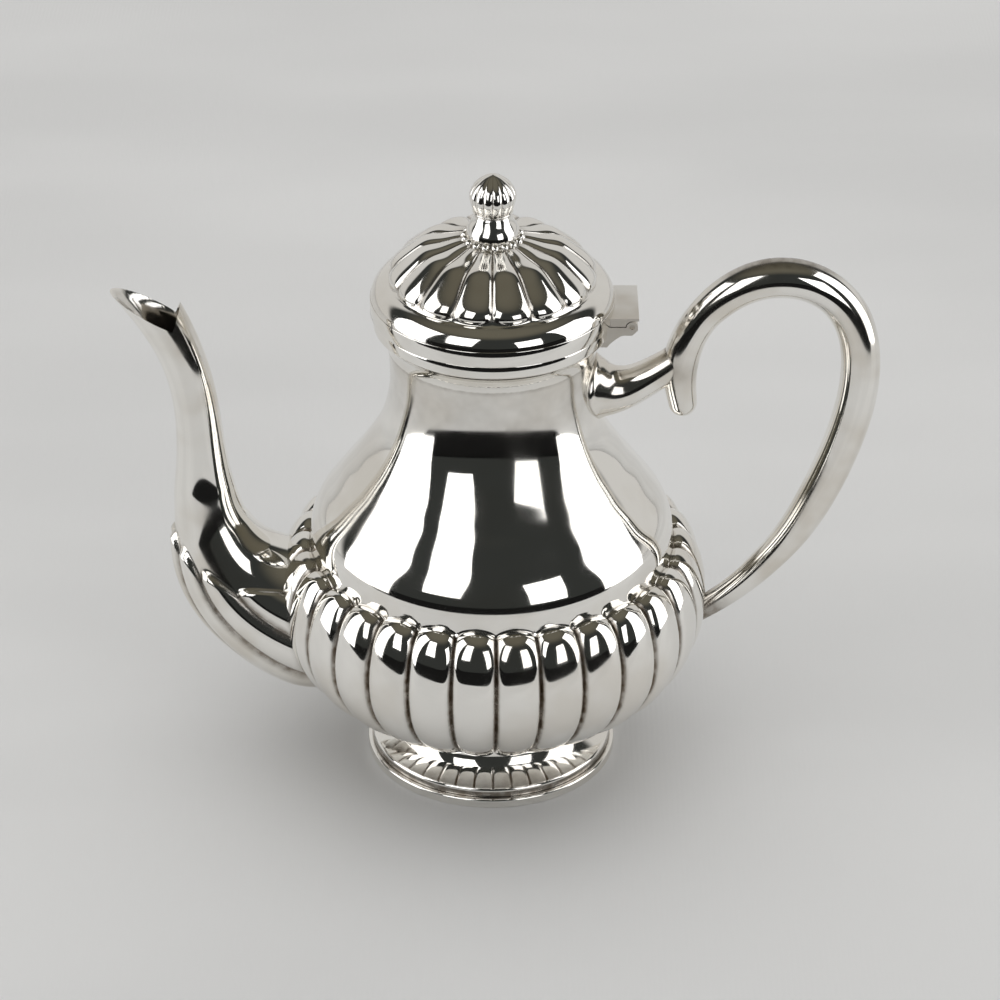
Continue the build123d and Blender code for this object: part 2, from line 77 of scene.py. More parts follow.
# ---------------------------------------------------------------- settings
class PotSizes(bpy.types.PropertyGroup):
    """Sizes of the lobed body, foot and lid."""

    body_lobes: bpy.props.IntProperty(name="Body Lobes", description="Lobes round the belly", default=30)
    groove_depth: bpy.props.FloatProperty(
        name="Groove Depth", description="Depth of the grooves", default=GROOVE_DEPTH * MM, unit="LENGTH"
    )
    lid_lobes: bpy.props.IntProperty(name="Lid Lobes", description="Lobes round the lid", default=16)
    lobe_rise: bpy.props.FloatProperty(
        name="Lid Lobe Rise", description="Height of the lid's lobes", default=1.35 * MM, unit="LENGTH"
    )
    petals: bpy.props.IntProperty(name="Petals", description="Petals round the finial", default=18)
    bud_lobes: bpy.props.IntProperty(name="Bud Lobes", description="Lobes round the bud", default=14)
    wall: bpy.props.FloatProperty(
        name="Wall", description="Thickness of the raised silver", default=1.0 * MM, unit="LENGTH"
    )


class SilverFinish(bpy.types.PropertyGroup):
    """Colours of the silver and of its tarnish, whose brown also serves for painted shade."""

    silver: bpy.props.FloatVectorProperty(
        name="Silver", description="Colour of clean silver", subtype="COLOR", default=(0.91, 0.895, 0.86)
    )
    # Colour of the groove tarnish, also used where shade is painted in.
    tarnish_and_shade: bpy.props.FloatVectorProperty(
        name="Tarnish And Shade", description="Colour in grooves", subtype="COLOR", default=(0.16, 0.125, 0.09)
    )
    brass: bpy.props.FloatVectorProperty(
        name="Brass", description="Colour of the hidden fixings", subtype="COLOR", default=(0.72, 0.6, 0.38)
    )
    polish: bpy.props.FloatProperty(
        name="Polish", description="Roughness of polished silver", subtype="FACTOR", default=0.045
    )
    waviness: bpy.props.FloatProperty(
        name="Waviness", description="Height of the hand-raised waves", default=0.05 * MM, unit="LENGTH"
    )


class StudioSettings(bpy.types.PropertyGroup):
    """The camera and the light."""

    camera_place: bpy.props.FloatVectorProperty(
        name="Camera", description="Place of the camera", subtype="XYZ", default=(0.0029, -1.183, 0.805)
    )
    camera_tilt: bpy.props.FloatProperty(
        name="Tilt", description="Tilt of the camera", subtype="ANGLE", default=math.radians(59.27)
    )
    camera_roll: bpy.props.FloatProperty(
        name="Roll", description="Roll of the camera", subtype="ANGLE", default=math.radians(0.26)
    )
    lens: bpy.props.FloatProperty(name="Lens", description="Focal length in millimetres", default=139.5)
    floor_tone: bpy.props.FloatVectorProperty(
        name="Floor", description="Colour of the floor", subtype="COLOR", default=(0.8, 0.8, 0.8)
    )
    softbox: bpy.props.FloatProperty(name="Softbox", description="Brightness of the softboxes", default=1.9)
    fill: bpy.props.FloatProperty(name="Fill", description="Brightness of the overhead fill", default=1.0)


# ---------------------------------------------------------------- outlines
def smooth(points, stations):
    """Points on a natural cubic spline through given points, at shares of its length."""
    p = np.array(points, float)
    knots = np.r_[0, np.cumsum(np.linalg.norm(np.diff(p[:, :2], axis=0), axis=1))]
    gaps = np.diff(knots)
    count = len(p)
    system, right = np.eye(count), np.zeros_like(p)
    for i in range(1, count - 1):
        system[i, i - 1 : i + 2] = gaps[i - 1], 2 * (gaps[i - 1] + gaps[i]), gaps[i]
        right[i] = 6 * ((p[i + 1] - p[i]) / gaps[i] - (p[i] - p[i - 1]) / gaps[i - 1])
    bend = np.linalg.solve(system, right)
    at = np.clip(np.asarray(stations, float), 0, 1) * knots[-1]
    k = np.clip(np.searchsorted(knots, at, side="right") - 1, 0, count - 2)
    gap, ahead, behind = gaps[k, None], (knots[k + 1] - at)[:, None], (at - knots[k])[:, None]
    return (
        (bend[k] * ahead**3 + bend[k + 1] * behind**3) / (6 * gap)
        + (p[k] / gap - bend[k] * gap / 6) * ahead
        + (p[k + 1] / gap - bend[k + 1] * gap / 6) * behind
    )


def even(count):
    """Evenly spaced shares from 0 to 1."""
    return np.linspace(0, 1, count)


def cove(start, corner, end, count):
    """A hollow curve between two points, pulled towards a corner."""
    t = even(count)[:, None]
    start, corner, end = (np.array(p, float) for p in (start, corner, end))
    return start * (1 - t) ** 2 + 2 * corner * t * (1 - t) + end * t**2


def smooth_pair(points, joint, first, second):
    """One smooth outline, cut in two at one of its given points."""
    steps = np.linalg.norm(np.diff(np.array(points, float), axis=0), axis=1)
    cut = steps[:joint].sum() / steps.sum()
    return smooth(points, even(first) * cut), smooth(points, cut + even(second) * (1 - cut))


def ramp(low, high, value):
    """0 below low, 1 above high, and a smooth step between."""
    t = np.clip((value - low) / (high - low), 0, 1)
    return t * t * (3 - 2 * t)


def arch(across, round_share):
    """Height of a lobe's section, 1 on its crest and 0 in its grooves: a flat bow with turned-down edges."""
    return 1 - round_share * across**2 - (1 - round_share) * across**8


# ---------------------------------------------------------------- modelling
def deselect():
    if bpy.context.object and bpy.context.object.mode != "OBJECT":
        bpy.ops.object.mode_set(mode="OBJECT")
    bpy.ops.object.select_all(action="DESELECT")


def raised(name, around, rows, form):
    """A sheet of faces wrapped and raised into shape, in millimetres, with its tarnish and painted shade as one
    attribute.

    form(turn, row) takes each corner's share of the way round and its row, and gives its x, y, z
    and how much tarnish and painted shade it gets.
    """
    deselect()
    bpy.ops.mesh.primitive_grid_add(x_subdivisions=around, y_subdivisions=rows, size=2)
    piece = bpy.context.active_object
    piece.name = piece.data.name = name
    corners = np.empty(3 * len(piece.data.vertices), np.float32)
    piece.data.vertices.foreach_get("co", corners)
    corners = corners.reshape(-1, 3)
    turn = np.rint((corners[:, 0] + 1) / 2 * around) / around
    row = np.rint((corners[:, 1] + 1) / 2 * rows).astype(int)
    x, y, z, dark = form(turn, row)
    placed = np.stack([x, y, z], axis=1) * MM
    piece.data.vertices.foreach_set("co", placed.astype(np.float32).ravel())
    # One mask for groove tarnish and painted shade alike.
    mask = piece.data.attributes.new("tarnish_and_shade", "FLOAT", "POINT")
    mask.data.foreach_set("value", np.clip(dark, 0, 1).astype(np.float32))
    piece.data.update()
    bpy.ops.object.mode_set(mode="EDIT")
    bpy.ops.mesh.select_all(action="SELECT")
    bpy.ops.mesh.remove_doubles(threshold=WELD * MM)
    bpy.ops.mesh.normals_make_consistent(inside=False)
    bpy.ops.object.mode_set(mode="OBJECT")
    bpy.ops.object.shade_smooth_by_angle(angle=CRISP)
    return piece


def lobed(name, crest, groove, count, start, per_lobe, round_share, dark_rows, line_rows):
    """A raised form whose radius and height swing between a crest outline and a groove outline."""
    crest, groove = np.array(crest), np.array(groove)

    def form(turn, row):
        step = turn * count
        inside = 2 * (step - np.floor(step)) - 1
        eased = inside + LOBE_EASING * np.sin(math.pi * inside) / math.pi
        azimuth = start + 2 * math.pi / count * (np.floor(step) + (eased + 1) / 2)
        share = arch(eased, np.broadcast_to(round_share, len(crest))[row])
        radius = groove[row, 0] + (crest[row, 0] - groove[row, 0]) * share
        height = groove[row, 1] + (crest[row, 1] - groove[row, 1]) * share
        dark = dark_rows[row] * ramp(*GROOVE_EDGE, np.abs(eased)) + line_rows[row]
        return radius * np.cos(azimuth), radius * np.sin(azimuth), height, dark

    return raised(name, count * per_lobe, len(crest) - 1, form)


def turned(name, outline, around, dark):
    """A form spun on the lathe from an outline of radius and height."""
    outline, dark = np.array(outline, float), np.array(dark, float)

    def form(turn, row):
        azimuth = FRONT + 2 * math.pi * turn
        radius = outline[row, 0]
        return radius * np.cos(azimuth), radius * np.sin(azimuth), outline[row, 1], dark[row]

    return raised(name, around, len(outline) - 1, form)


class Tube:
    """A round section carried along a path of (x, z, radius) points in the pot's middle plane."""

    def __init__(self, path, fine=1500):
        self.path = smooth(path, even(fine))
        along = np.gradient(self.path[:, :2], axis=0)
        self.along = along / np.linalg.norm(along, axis=1)[:, None]
        self.fine = fine

    def at(self, share, angle, inset=0.0, extra=0.0):
        """Places on the tube: angle 0 is its left side when looking along the path, 90 degrees is -Y."""
        spot = np.clip(share, 0, 1) * (self.fine - 1)
        low = np.clip(np.floor(spot).astype(int), 0, self.fine - 2)
        rest = (spot - low)[..., None]
        centre = self.path[low] * (1 - rest) + self.path[low + 1] * rest
        along = self.along[low] * (1 - rest) + self.along[low + 1] * rest
        radius = centre[..., 2] - inset + extra
        out = radius * np.cos(angle)
        return (
            centre[..., 0] - along[..., 1] * out,
            -radius * np.sin(angle),
            centre[..., 1] + along[..., 0] * out,
        )

    def first(self, angle, wanted):
        """Share of the path, for each angle, where a test of the place first comes true."""
        shares = even(self.fine)
        x, y, z = self.at(shares[:, None], angle[None, :])
        found = wanted(x, y, z)
        found[-1] = True
        return shares[np.argmax(found, axis=0)]


def settle(piece, body, nodes, finish):
    """Says what a finished piece rides on, stands for and is made of."""
    piece.data.materials.clear()
    piece.data.materials.append(bpy.data.materials[finish])
    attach(piece, body)
    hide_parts(*nodes)
    return piece


# ---------------------------------------------------------------- materials
def link(tree, source, target):
    tree.links.new(source, target)


def group(name, takes, gives):
    """A shader node group with its sockets, and its two end nodes."""
    tree = bpy.data.node_groups.new(name, "ShaderNodeTree")
    for label, kind, default in takes:
        tree.interface.new_socket(label, in_out="INPUT", socket_type=kind).default_value = default
    for label, kind in gives:
        tree.interface.new_socket(label, in_out="OUTPUT", socket_type=kind)
    return tree, tree.nodes.new("NodeGroupInput"), tree.nodes.new("NodeGroupOutput")


def noise(tree, place, scale, detail, stretch=None):
    """A noise texture on the piece's own coordinates."""
    texture = tree.nodes.new("ShaderNodeTexNoise")
    texture.inputs["Scale"].default_value = scale
    texture.inputs["Detail"].default_value = detail
    if stretch:
        mapping = tree.nodes.new("ShaderNodeMapping")
        mapping.inputs["Scale"].default_value = stretch
        link(tree, place, mapping.inputs["Vector"])
        place = mapping.outputs["Vector"]
    link(tree, place, texture.inputs["Vector"])
    return texture.outputs["Fac"]


def spread(tree, value, low, high, to_low=0.0, to_high=1.0):
    """Maps a span of a value to another span, smoothly."""
    node = tree.nodes.new("ShaderNodeMapRange")
    node.interpolation_type = "SMOOTHSTEP"
    for label, number in (("From Min", low), ("From Max", high), ("To Min", to_low), ("To Max", to_high)):
        node.inputs[label].default_value = number
    link(tree, value, node.inputs["Value"])
    return node.outputs["Result"]


def sums(tree, operation, *values):
    """A math node on two or three values or sockets."""
    node = tree.nodes.new("ShaderNodeMath")
    node.operation = operation
    node.use_clamp = operation != "MULTIPLY_ADD"
    for socket, value in zip(node.inputs, values):
        if isinstance(value, (int, float)):
            socket.default_value = value
        else:
            link(tree, value, socket)
    return node.outputs["Value"]


def blend_colours(tree, share, first, second):
    node = tree.nodes.new("ShaderNodeMix")
    node.data_type = "RGBA"
    link(tree, share, node.inputs["Factor"])
    for socket, colour in ((node.inputs["A"], first), (node.inputs["B"], second)):
        if isinstance(colour, (tuple, list)):
            socket.default_value = colour
        else:
            link(tree, colour, socket)
    return node.outputs["Result"]


def tarnish_and_shade_group():
    """Tarnish and painted shade: brown in the grooves and seams, painted shade where the mask asks for it (the
    foot rim's contact shadow, the handle's darker upper side), with faint clouds and handling marks elsewhere.
    """
    tree, takes, gives = group(
        "tarnish and painted shade on silver",
        [
            ("Metal", "NodeSocketColor", (0.9, 0.9, 0.88, 1)),
            ("Tarnish And Shade", "NodeSocketColor", (0.16, 0.12, 0.09, 1)),
            ("Tarnish And Shade Amount", "NodeSocketFloat", 0.0),
            ("Clouds", "NodeSocketFloat", 0.25),
            ("Clean Roughness", "NodeSocketFloat", 0.05),
        ],
        [("Color", "NodeSocketColor"), ("Roughness", "NodeSocketFloat")],
    )
    place = tree.nodes.new("ShaderNodeTexCoord").outputs["Object"]
    broken = spread(tree, noise(tree, place, 260.0, 3.0), 0.25, 0.75, 0.62, 1.15)
    # groove: the mask's tarnish and painted shade, broken up by noise.
    groove = sums(tree, "MULTIPLY", takes.outputs["Tarnish And Shade Amount"], broken)
    clouds = spread(tree, noise(tree, place, 34.0, 3.0), 0.42, 0.66)
    cloudy = sums(tree, "MULTIPLY", clouds, takes.outputs["Clouds"])
    film = sums(tree, "MULTIPLY", cloudy, 0.5)
    worn = blend_colours(tree, film, takes.outputs["Metal"], (0.60, 0.53, 0.43, 1))
    link(tree, blend_colours(tree, groove, worn, takes.outputs["Tarnish And Shade"]), gives.inputs["Color"])
    wiped = spread(tree, noise(tree, place, 90.0, 4.0, (1.0, 1.0, 0.25)), 0.45, 0.8, 0.0, 0.03)
    rough = sums(tree, "ADD", takes.outputs["Clean Roughness"], wiped)
    rough = sums(tree, "ADD", rough, sums(tree, "MULTIPLY", cloudy, 0.10))
    rough = sums(tree, "ADD", rough, sums(tree, "MULTIPLY", groove, 0.30))
    link(tree, rough, gives.inputs["Roughness"])
    return tree


def handwork_group():
    """Handwork: long waves left by raising, and hair scratches from years of polishing."""
    tree, takes, gives = group(
        "handwork on silver",
        [("Waves", "NodeSocketFloat", 1.0), ("Scratches", "NodeSocketFloat", 1.0)],
        [("Height", "NodeSocketFloat")],
    )
    place = tree.nodes.new("ShaderNodeTexCoord").outputs["Object"]
    waves = sums(tree, "MULTIPLY", noise(tree, place, 28.0, 1.0), takes.outputs["Waves"])
    hairs = spread(tree, noise(tree, place, 900.0, 2.0, (1.0, 1.0, 0.06)), 0.60, 0.72)
    hairs = sums(tree, "MULTIPLY", hairs, takes.outputs["Scratches"])
    hairs = sums(tree, "MULTIPLY", hairs, 0.006)
    link(tree, sums(tree, "MULTIPLY_ADD", waves, 1.0, hairs), gives.inputs["Height"])
    return tree


def metal(name, colour, tarnish_and_shade, clouds, roughness, waves, wave_height, everywhere):
    """A polished metal: tarnish-and-painted-shade and handwork groups feeding one metallic shader."""
    material = bpy.data.materials.new(name)
    material.use_nodes = True
    tree = material.node_tree
    shader = tree.nodes["Principled BSDF"]
    shader.inputs["Metallic"].default_value = 1.0
    mask = tree.nodes.new("ShaderNodeAttribute")
    mask.attribute_name = "tarnish_and_shade"
    aged = tree.nodes.new("ShaderNodeGroup")
    aged.node_tree = bpy.data.node_groups.get("tarnish and painted shade on silver") or tarnish_and_shade_group()
    aged.inputs["Metal"].default_value = (*colour, 1)
    aged.inputs["Tarnish And Shade"].default_value = (*tarnish_and_shade, 1)
    aged.inputs["Clouds"].default_value = clouds
    aged.inputs["Clean Roughness"].default_value = roughness
    link(tree, sums(tree, "ADD", mask.outputs["Fac"], everywhere), aged.inputs["Tarnish And Shade Amount"])
    link(tree, aged.outputs["Color"], shader.inputs["Base Color"])
    link(tree, aged.outputs["Roughness"], shader.inputs["Roughness"])
    worked = tree.nodes.new("ShaderNodeGroup")
    worked.node_tree = bpy.data.node_groups.get("handwork on silver") or handwork_group()
    worked.inputs["Waves"].default_value = waves
    bump = tree.nodes.new("ShaderNodeBump")
    bump.inputs["Distance"].default_value = wave_height
    link(tree, worked.outputs["Height"], bump.inputs["Height"])
    link(tree, bump.outputs["Normal"], shader.inputs["Normal"])
    return material


class POT_OT_finishes(bpy.types.Operator):
    """Mix the silver, cast silver, pin and brass finishes"""

    bl_idname = "pot.finishes"
    bl_label = "Finishes"

    def execute(self, context):
        look = context.scene.silver_finish
        silver, tarnish_and_shade = tuple(look.silver), tuple(look.tarnish_and_shade)
        for name, colour, clouds, roughness, waves, everywhere in (
            ("polished silver", silver, 0.5, look.polish, 1.0, 0.0),
            ("spun silver", silver, 0.35, look.polish, 0.35, 0.0),
            ("drawn silver tube", silver, 0.9, look.polish, 0.8, 0.0),
            ("cast silver", silver, 0.5, look.polish + 0.02, 0.6, 0.0),
            ("silver inside", silver, 1.0, look.polish + 0.12, 1.0, 0.04),
            ("hinge silver", tuple(0.92 * c for c in silver), 1.0, 0.3, 0.3, 0.0),
            ("pin wire", (0.72, 0.7, 0.66), 1.0, 0.22, 0.2, 0.15),
            ("dull brass", tuple(look.brass), 1.0, 0.3, 0.5, 0.1),
        ):
            metal(name, colour, tarnish_and_shade, clouds, roughness, waves, look.waviness, everywhere)
        return {"FINISHED"}


# ---------------------------------------------------------------- body
BELLY_CREST = [
    (64.9, 87.5), (66.6, 87.9), (68.8, 87.4), (71.0, 85.8), (73.0, 83.0), (74.6, 79.4), (75.8, 75.2),
    (76.7, 70.5), (77.05, 65.6), (76.8, 60.4), (75.8, 55.0), (73.4, 48.8), (68.6, 41.2), (61.2, 33.8),
    (51.6, 26.9), (41.0, 20.6), (33.0, 16.6),
]
SHOULDER_RING = (64.5, 89.8)
SHOULDER = [
    SHOULDER_RING, (64.45, 92.4), (64.05, 95.2), (63.1, 98.3), (61.7, 101.3), (59.75, 104.3), (57.5, 107.3),
    (55.0, 110.7), (52.4, 114.2), (49.5, 118.0), (46.7, 122.0), (44.0, 126.0), (41.6, 130.0),
    (39.6, 134.0), (37.85, 139.0), (36.85, 143.0), (35.95, 148.0), (35.6, 153.0), (35.75, 158.5),
    (36.35, 164.9),
]
CUSP = (65.2, 85.0)            # where two lobes' rounded tops meet
BASE_RING = (24.0, 12.0)
COLLAR_SEAM = (36.4, 165.2)
COLLAR_COVE = [(36.85, 167.2), (37.7, 169.4), (39.1, 171.6), (40.8, 173.2)]
BELLY_ROWS = 64
NECK_ROWS = 56
COVE_ROWS = 20
NECK_CLEAN_ROWS = 36           # rows below the neck's tarnish


def neck_and_cove():
    """The shoulder with the neck, and the collar's cove, as two parts of one outline."""
    return smooth_pair(SHOULDER[:-1] + [COLLAR_SEAM] + COLLAR_COVE, len(SHOULDER) - 1, NECK_ROWS, COVE_ROWS)


def groove_outline(crest, depth, cusp):
    """The belly's groove line: the crest line set in by the groove's depth, ending at the cusp."""
    along = np.gradient(crest, axis=0)
    along /= np.linalg.norm(along, axis=1)[:, None]
    inward = np.stack([along[:, 1], -along[:, 0]], axis=1)
    share = even(len(crest))
    fade = ramp(1.0, 0.72, share) * 0.72 + 0.28
    start = ramp(0.0, 0.16, share)
    line = crest + inward * (depth * fade * start)[:, None]
    drop = (np.array(cusp) - crest[0]) * (1 - ramp(0.0, 0.24, share))[:, None]
    return line + drop


def body_outlines(sizes):
    """Crest and groove outlines of the whole shell: underside, belly, shoulder, then down the inside."""
    depth, wall = sizes.groove_depth / MM, sizes.wall / MM
    stations = even(BELLY_ROWS) ** 1.35
    crest = smooth(BELLY_CREST, stations)
    groove = groove_outline(crest, depth, CUSP)
    low_crest = np.vstack([[(0.0, 12.0)], [BASE_RING], crest[::-1]])
    low_groove = np.vstack([[(0.0, 12.0)], [BASE_RING], groove[::-1]])
    top_crest = cove(crest[0], (64.6, 88.3), SHOULDER_RING, 7)[1:]
    top_groove = cove(groove[0], (64.6, 85.2), SHOULDER_RING, 7)[1:]
    shoulder = neck_and_cove()[0][1:]
    lining = [
        (35.3, 165.2), (34.6, 156.0), (35.1, 147.0), (38.5, 134.0), (44.2, 123.5), (51.2, 113.5), (57.2, 104.5),
        (61.6, 96.5), (63.0, 90.0), (66.0, 84.0), (70.3, 76.0), (72.6, 68.0), (72.6, 60.0), (70.4, 51.0),
        (64.6, 41.0), (55.5, 32.0), (43.0, 23.5), (30.0, 15.4), (18.0, 13.1), (0.0, 13.0),
    ]
    inside = smooth(lining, even(30))
    inside[:, 0] += 1.0 - wall
    inside[-1, 0] = 0.0
    crest_line = np.vstack([low_crest, top_crest, shoulder, inside])
    groove_line = np.vstack([low_groove, top_groove, shoulder, inside])
    return crest_line, groove_line, len(low_crest), len(top_crest), len(shoulder)


class POT_OT_body(bpy.types.Operator):
    """Raise the lobed body with its smooth shoulder and neck"""

    bl_idname = "pot.body"
    bl_label = "Body"

    def execute(self, context):
        sizes = context.scene.pot_sizes
        crest, groove, low, strip, shoulder = body_outlines(sizes)
        dark, line = np.zeros(len(crest)), np.zeros(len(crest))
        dark[:low] = 0.95
        line[2:8] = 0.35
        line[low - 1] = 0.55
        line[low : low + 2] = 0.3
        neck = np.arange(low + strip + NECK_CLEAN_ROWS, low + strip + shoulder)
        line[neck] = 0.17 * ramp(neck[0], neck[0] + 9, neck)
        line[neck[-1]] = 0.4
        pitch = 2 * math.pi / sizes.body_lobes
        start = FRONT + math.radians(1.5)
        rounder = 0.42 + 0.33 * ramp(low - 26, low - 8, np.arange(len(crest)))
        piece = lobed("body", crest, groove, sizes.body_lobes, start - pitch, 20, rounder, dark, line)
        settle(piece, "pot", ["body_shell"], "polished silver")
        return {"FINISHED"}


class POT_OT_mouth(bpy.types.Operator):
    """Spin the mouth collar that the lid meets"""

    bl_idname = "pot.mouth"
    bl_label = "Mouth Collar"

    def execute(self, context):
        outside = neck_and_cove()[1]
        lip = [(41.0, 173.4), (41.24, 173.8), (COLLAR_R, 174.2), (COLLAR_R, 175.8)]
        top = [(COLLAR_R, RIM_TOP - 0.35), (COLLAR_R - 0.1, RIM_TOP - 0.1), (COLLAR_R - 0.35, RIM_TOP)]
        bore = COLLAR_R - 1.7
        back = [(bore + 0.3, RIM_TOP), (bore, RIM_TOP - 0.3), (bore, 174.5)]
        inside = smooth([(bore - 0.3, 173.4), (37.2, 170.3), (35.2, 165.2)], even(10))
        outline = np.vstack([outside, lip, top, back, inside, [COLLAR_SEAM]])
        dark = np.zeros(len(outline))
        dark[0], dark[-1] = 0.22, 0.5
        piece = turned("mouth_collar_ring", outline, 320, dark)
        settle(piece, "pot", ["mouth_collar"], "spun silver")
        return {"FINISHED"}


class POT_OT_foot(bpy.types.Operator):
    """Spin the flared foot and its rim"""

    bl_idname = "pot.foot"
    bl_label = "Foot"

    def execute(self, context):
        outside = smooth(
            [(33.3, 20.5), (33.6, 17.5), (34.4, 14.0), (36.1, 11.2), (38.7, 8.9), (41.2, 7.5), (42.2, 7.1)],
            even(34),
        )
        ridge = cove((42.2, 7.1), (43.35, 6.9), (43.4, 5.6), 8)[1:]
        outline = np.vstack([outside, ridge, [(43.35, 3.7), (42.4, 3.7), (42.4, 5.4)]])
        inside = smooth(
            [(42.3, 5.9), (39.5, 7.2), (36.0, 9.7), (33.4, 13.4), (32.5, 17.0), (32.3, 20.5)],
            even(14),
        )
        outline = np.vstack([outline, inside, outside[:1]])
        dark = np.zeros(len(outline))
        dark[:6] = 0.6, 0.6, 0.5, 0.35, 0.2, 0.1
        dark[len(outside) + len(ridge) - 1 : len(outside) + len(ridge) + 2] = 0.8
        flare = turned("foot_flare_spun", outline, 288, dark)
        settle(flare, "pot", ["foot_flare"], "spun silver")

        shelf = FOOT_R - 4.4
        outline = np.vstack([
            [(shelf, 0.0), (shelf, 3.5), (43.2, 3.5), (43.9, 3.52)],
            cove((44.15, 3.5), (FOOT_R, 3.4), (FOOT_R, 2.5), 7),
            [(FOOT_R, 0.5)],
            cove((FOOT_R, 0.4), (FOOT_R, 0.0), (FOOT_R - 0.45, 0.0), 4),
            [(shelf, 0.0)],
        ])
        dark = np.zeros(len(outline))
        # dark[2] darkens the rim's joint with the flare; dark[-3:-1] is a painted contact shadow along the
        # rim's bottom edge, where it stands on the floor.
        dark[2], dark[-3:-1] = 0.7, 0.5
        rim = turned("foot_rim_wire", outline, 288, dark)
        settle(rim, "pot", ["foot_rim"], "spun silver")
        return {"FINISHED"}


# ---------------------------------------------------------------- spout and handle
SPOUT_PATH = [
    (-47.0, 50.0, 20.5), (-60.5, 53.6, 26.6), (-73.0, 58.7, 26.0), (-84.6, 66.0, 23.0), (-93.2, 75.6, 19.7),
    (-98.6, 88.0, 15.9), (-101.3, 101.0, 12.2), (-102.2, 114.0, 9.7), (-102.9, 131.0, 8.2),
    (-105.9, 152.5, 7.8), (-110.4, 166.0, 8.1), (-117.0, 179.0, 8.7), (-126.0, 193.0, 9.4),
]
SPOUT_TIP = (-131.2, 184.6)
SPOUT_NOTCH = (-110.0, 172.6)
SPOUT_PEAK = (-106.5, 183.0)
HANDLE_PATH = [
    (66.6, 142.2, 5.1), (65.4, 151.0, 5.8), (66.4, 162.5, 6.2), (71.6, 174.3, 6.0), (79.3, 183.0, 6.4),
    (88.8, 188.9, 6.8), (99.2, 191.0, 7.0), (109.4, 189.2, 6.9), (118.6, 183.2, 6.8), (124.8, 174.0, 6.8),
    (127.8, 162.0, 6.8), (127.9, 149.0, 6.9), (125.6, 135.0, 6.9), (121.4, 120.5, 6.8), (115.6, 105.5, 6.6),
    (108.0, 90.5, 6.0), (98.2, 77.0, 5.2), (86.0, 64.5, 4.5), (72.5, 54.5, 3.9),
]
SOCKET_PATH = [
    (26.0, 149.0, 14.2), (34.5, 148.0, 11.9), (40.8, 147.2, 9.4), (46.6, 148.1, 7.7), (52.8, 151.0, 6.6),
    (58.6, 154.8, 6.0), (64.0, 159.0, 5.4),
]
SHOULDER_LOW = 86.0            # height above which the body is plain
BURIED = 0.5                   # how deep the tubes end inside the body
SPOUT_WALL = 0.9
SPOUT_LOBES = 8
SPOUT_LOBE_SPAN = math.radians(252)


def groove_radius(z):
    """Radius of the body at the bottom of its grooves, and of the plain shoulder above."""
    crest = smooth(BELLY_CREST, even(80))[::-1]
    belly = np.interp(z, crest[:, 1], crest[:, 0]) - GROOVE_DEPTH
    shoulder = smooth(SHOULDER, even(80))
    plain = np.interp(z, shoulder[:, 1], shoulder[:, 0])
    return np.where(z > SHOULDER_LOW, plain, belly)


def outside_body(x, y, z):
    return np.hypot(x, y) > groove_radius(z) - BURIED


def inside_body(x, y, z):
    return np.hypot(x, y) < groove_radius(z) - BURIED


def beside(a, b, x, z):
    """How far points lie to the left of the line from a to b."""
    dx, dz = b[0] - a[0], b[1] - a[1]
    return (dx * (z - a[1]) - dz * (x - a[0])) / math.hypot(dx, dz)


def past_mouth(x, y, z):
    """Above the spout's long slope and in front of its short back edge."""
    return (beside(SPOUT_TIP, SPOUT_NOTCH, x, z) > 0) & (beside(SPOUT_NOTCH, SPOUT_PEAK, x, z) > 0)


class POT_OT_spout(bpy.types.Operator):
    """Raise the swan-neck spout with its lobed base and cut mouth"""

    bl_idname = "pot.spout"
    bl_label = "Spout"

    def execute(self, context):
        tube = Tube(SPOUT_PATH)
        around, rows_out, rows_in = 330, 190, 60
        angle = 2 * math.pi * even(around + 1)
        start = tube.first(angle, outside_body)
        end = tube.first(angle, past_mouth)

        def lobes(share, theta):
            """Rise of the base's lobes and their tarnish, at a share of the path and an angle."""
            low_side = np.abs((theta + math.pi) % (2 * math.pi) - math.pi)
            top = 0.392 - 0.16 * (low_side / math.radians(117)) ** 1.9
            step = (theta / SPOUT_LOBE_SPAN + 0.5) * SPOUT_LOBES
            inside = 2 * (step - np.floor(step)) - 1
            bulge = arch(inside, 0.85)
            reach = top + 0.026 * bulge
            in_lobe = ramp(0.0, 0.013, reach - share)
            fade = ramp(math.radians(136), math.radians(122), low_side)
            rise = fade * in_lobe * (0.4 + 1.9 * bulge)
            grooves = ramp(0.5, 1.0, np.abs(inside)) * ramp(-0.004, 0.01, reach - share)
            edge = np.exp(-(((reach - share) / 0.005) ** 2))
            return rise, fade * (0.8 * grooves + 0.3 * edge)

        def form(turn, row):
            theta = 2 * math.pi * turn
            column = np.rint(turn * around).astype(int)
            out = row <= rows_out
            share = np.where(out, row / rows_out, 1 - (row - rows_out) / rows_in)
            spot = start[column] + (end[column] - start[column]) * share
            around_low = (theta + math.pi) % (2 * math.pi) - math.pi
            rise, dark = lobes(spot, around_low)
            inner = np.where(out, 0.0, SPOUT_WALL) * np.where(row == rows_out + rows_in, 0.0, 1.0)
            slimmer = ramp(0.5, 0.4, spot)
            extra = np.where(inner == 0, rise - 1.2 * slimmer, -1.6 * slimmer)
            x, y, z = tube.at(spot, theta, inner, extra)
            seam = ramp(0.035, 0.0, share) * np.where(out, 0.75, 0)
            return x, y, z, np.where(out, np.maximum(dark, seam), 0.3)

        piece = raised("spout_raised", around, rows_out + rows_in, form)
        settle(piece, "pot", ["spout"], "drawn silver tube")
        return {"FINISHED"}


